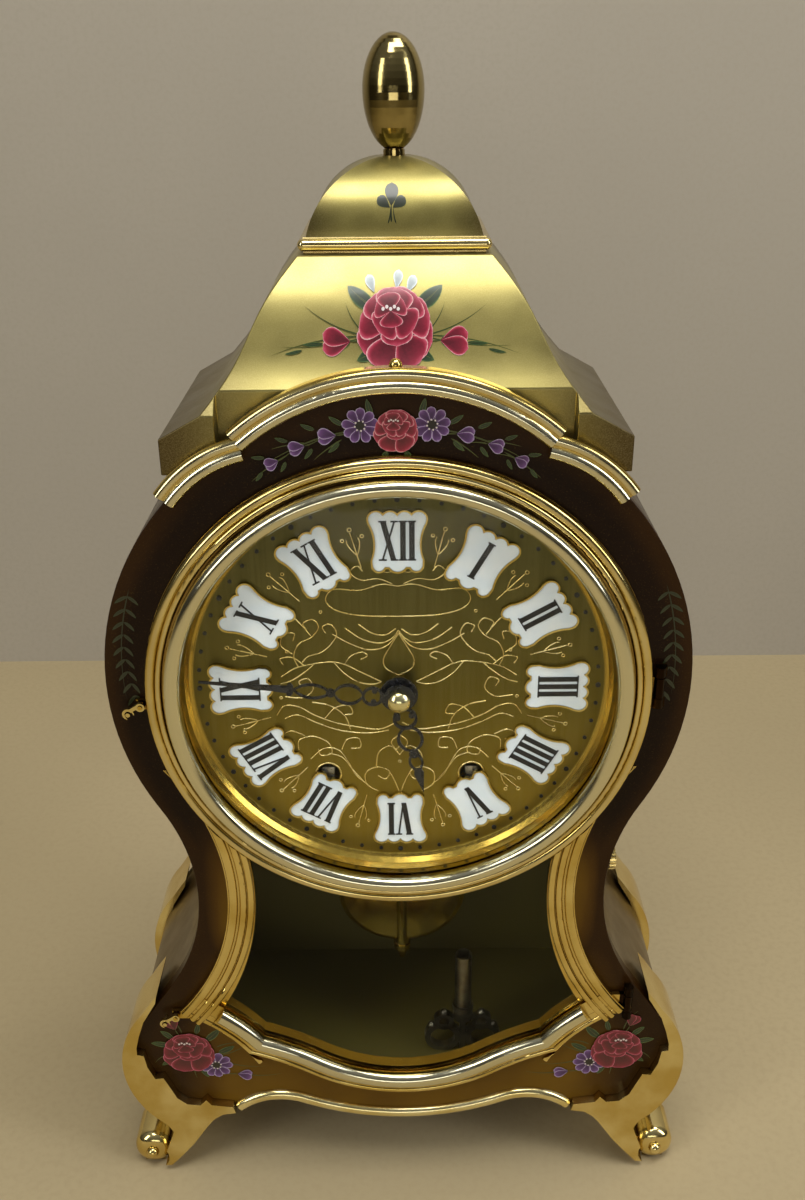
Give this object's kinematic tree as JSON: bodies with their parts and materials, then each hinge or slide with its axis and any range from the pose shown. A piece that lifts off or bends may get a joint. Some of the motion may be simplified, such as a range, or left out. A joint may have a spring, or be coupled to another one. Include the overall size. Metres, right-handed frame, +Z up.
{
  "type": "mantel clock",
  "caption": "Pendulum mantel clock: violin-shaped painted case, gilt mounts and feet, hinged glazed door, enamel numerals, pierced hands, two-train movement.",
  "frame": {"origin": "centre of the clock's footprint box, on the table", "axes": "+X to the right seen from the front, +Y to the back, +Z up"},
  "size_m": [0.2452, 0.1176, 0.466],
  "materials": {
    "painted_case": "gloss",
    "painted_roof": "satin",
    "gilt": "polished",
    "brass": "satin",
    "dial_gilt": "satin",
    "enamel": "gloss",
    "black_paint": "satin",
    "blued_black": "gloss",
    "steel": "satin",
    "case_wood": "matte",
    "glass": "gloss",
    "bell_metal": "satin"
  },
  "bodies": {
    "case": {"front_panel": "painted_case", "left_wall": "painted_case", "right_wall": "painted_case", "back_board": "case_wood", "floor_board": "case_wood", "roof": "painted_roof", "cornice_trim": "gilt", "cap_moulding": "gilt", "cap_dome": "painted_roof", "finial": "gilt", "front_mounts": "gilt", "rear_mounts": "gilt", "apron_bead": "gilt", "dial_plate": "dial_gilt", "minute_dots": "black_paint", "cartouches": "enamel", "cartouche_rims": "gilt", "numerals": "black_paint", "front_plate": "brass", "back_plate": "brass", "pillars": "brass", "movement_bars": "steel", "suspension_bracket": "brass", "bell": "bell_metal", "bell_post": "steel", "clicks": "steel", "keeper_pins": "gilt", "hinge_pins": "gilt"},
    "door": {"door_frame": "gilt", "bezel_ring": "gilt", "dial_glass": "glass", "window_glass": "glass"},
    "upper_hook": {"upper_hook": "gilt"},
    "lower_hook": {"lower_hook": "gilt"},
    "back_door": {"back_door": "case_wood", "back_knob": "brass"},
    "side_knob": {"side_knob": "gilt"},
    "minute": {"minute_hand": "blued_black", "hand_nut": "brass", "cannon_pinion": "steel"},
    "hour": {"hour_hand": "blued_black", "hour_wheel": "brass"},
    "minute_wheel": {"minute_wheel": "brass"},
    "going_barrel": {"going_barrel": "brass"},
    "going_arbor": {"going_arbor": "steel"},
    "second_wheel": {"second_wheel": "brass"},
    "centre_wheel": {"centre_wheel": "brass"},
    "third_wheel": {"third_wheel": "brass"},
    "escape_wheel": {"escape_wheel": "brass"},
    "anchor": {"anchor": "steel"},
    "pendulum": {"pendulum_rod": "brass", "bob": "brass", "rating_nut": "brass"},
    "strike_barrel": {"strike_barrel": "brass"},
    "strike_arbor": {"strike_arbor": "steel"},
    "strike_wheel": {"strike_wheel": "brass"},
    "pin_wheel": {"pin_wheel": "brass"},
    "fly": {"fly": "brass"},
    "hammer": {"hammer": "steel"},
    "key": {"winding_key": "steel"}
  },
  "joints": [
    {"name": "front_door_hinge", "type": "hinge", "parent": "case", "child": "door", "pos_m": [0.0948, -0.0478, 0.175], "axis": [0, 0, 1], "range_deg": [0, 105]},
    {"name": "upper_hook_pivot", "type": "hinge", "parent": "door", "child": "upper_hook", "pos_m": [-0.0946, -0.0482, 0.2442], "axis": [0, 1, 0], "range_deg": [0, 60]},
    {"name": "lower_hook_pivot", "type": "hinge", "parent": "door", "child": "lower_hook", "pos_m": [-0.0955, -0.0482, 0.0925], "axis": [0, 1, 0], "range_deg": [0, 60]},
    {"name": "back_door_hinge", "type": "hinge", "parent": "case", "child": "back_door", "pos_m": [-0.06, 0.0482, 0.21], "axis": [0, 0, 1], "range_deg": [0, 100]},
    {"name": "side_knob_turn", "type": "hinge", "parent": "case", "child": "side_knob", "pos_m": [0.085, -0.0367, 0.165], "axis": [1, 0, 0], "range_deg": [0, 90]},
    {"name": "minute_hand_turn", "type": "hinge", "parent": "case", "child": "minute", "pos_m": [0, -0.0192, 0.2464], "axis": [0, 1, 0], "continuous": true},
    {"name": "hour_hand_turn", "type": "hinge", "parent": "case", "child": "hour", "pos_m": [0, -0.0192, 0.2464], "axis": [0, 1, 0], "continuous": true},
    {"name": "minute_wheel_turn", "type": "hinge", "parent": "case", "child": "minute_wheel", "pos_m": [-0.0113, -0.0192, 0.2423], "axis": [0, 1, 0], "continuous": true},
    {"name": "centre_wheel_turn", "type": "hinge", "parent": "case", "child": "centre_wheel", "pos_m": [0, -0.0192, 0.2464], "axis": [0, 1, 0], "continuous": true},
    {"name": "second_wheel_turn", "type": "hinge", "parent": "case", "child": "second_wheel", "pos_m": [0.01547, -0.0192, 0.2322], "axis": [0, 1, 0], "continuous": true},
    {"name": "going_barrel_turn", "type": "hinge", "parent": "case", "child": "going_barrel", "pos_m": [0.0275, -0.0192, 0.208], "axis": [0, 1, 0], "continuous": true},
    {"name": "third_wheel_turn", "type": "hinge", "parent": "case", "child": "third_wheel", "pos_m": [0.014, -0.0192, 0.25805], "axis": [0, 1, 0], "continuous": true},
    {"name": "escape_wheel_turn", "type": "hinge", "parent": "case", "child": "escape_wheel", "pos_m": [0, -0.0192, 0.2654], "axis": [0, 1, 0], "continuous": true},
    {"name": "going_winding", "type": "hinge", "parent": "case", "child": "going_arbor", "pos_m": [0.0275, -0.0192, 0.208], "axis": [0, 1, 0], "range_deg": [0, 1440]},
    {"name": "strike_winding", "type": "hinge", "parent": "case", "child": "strike_arbor", "pos_m": [-0.0275, -0.0192, 0.208], "axis": [0, 1, 0], "range_deg": [0, 1440]},
    {"name": "strike_barrel_turn", "type": "hinge", "parent": "case", "child": "strike_barrel", "pos_m": [-0.0275, -0.0192, 0.208], "axis": [0, 1, 0], "continuous": true},
    {"name": "strike_wheel_turn", "type": "hinge", "parent": "case", "child": "strike_wheel", "pos_m": [-0.01547, -0.0192, 0.2322], "axis": [0, 1, 0], "continuous": true},
    {"name": "pin_wheel_turn", "type": "hinge", "parent": "case", "child": "pin_wheel", "pos_m": [-0.0241, -0.0192, 0.2507], "axis": [0, 1, 0], "continuous": true},
    {"name": "fly_turn", "type": "hinge", "parent": "case", "child": "fly", "pos_m": [-0.0268, -0.0192, 0.2659], "axis": [0, 1, 0], "continuous": true},
    {"name": "hammer_swing", "type": "hinge", "parent": "case", "child": "hammer", "pos_m": [-0.044, -0.0192, 0.2324], "axis": [0, -1, 0], "range_deg": [0, 25]},
    {"name": "pendulum_swing", "type": "hinge", "parent": "case", "child": "pendulum", "pos_m": [0, 0.0168, 0.2785], "axis": [0, 1, 0], "range_deg": [-3.5, 3.5]},
    {"name": "anchor_rock", "type": "hinge", "parent": "case", "child": "anchor", "pos_m": [0, -0.0192, 0.2785], "axis": [0, 1, 0], "range_deg": [-3.5, 3.5]},
    {"name": "key_lift", "type": "slide", "parent": "case", "child": "key", "axis": [0, 0, 1], "range_m": [0, 0.03]}
  ],
  "couplings": [
    {"joint": "hour_hand_turn", "follows": "minute_hand_turn", "ratio": 0.083333},
    {"joint": "minute_wheel_turn", "follows": "minute_hand_turn", "ratio": -0.33333},
    {"joint": "centre_wheel_turn", "follows": "third_wheel_turn", "ratio": -0.083333},
    {"joint": "second_wheel_turn", "follows": "third_wheel_turn", "ratio": 0.013889},
    {"joint": "going_barrel_turn", "follows": "third_wheel_turn", "ratio": -0.0017361},
    {"joint": "escape_wheel_turn", "follows": "third_wheel_turn", "ratio": -10.286},
    {"joint": "strike_wheel_turn", "follows": "pin_wheel_turn", "ratio": -0.13333},
    {"joint": "strike_barrel_turn", "follows": "pin_wheel_turn", "ratio": 0.016667},
    {"joint": "fly_turn", "follows": "pin_wheel_turn", "ratio": -10},
    {"joint": "anchor_rock", "follows": "pendulum_swing", "ratio": 1}
  ]
}
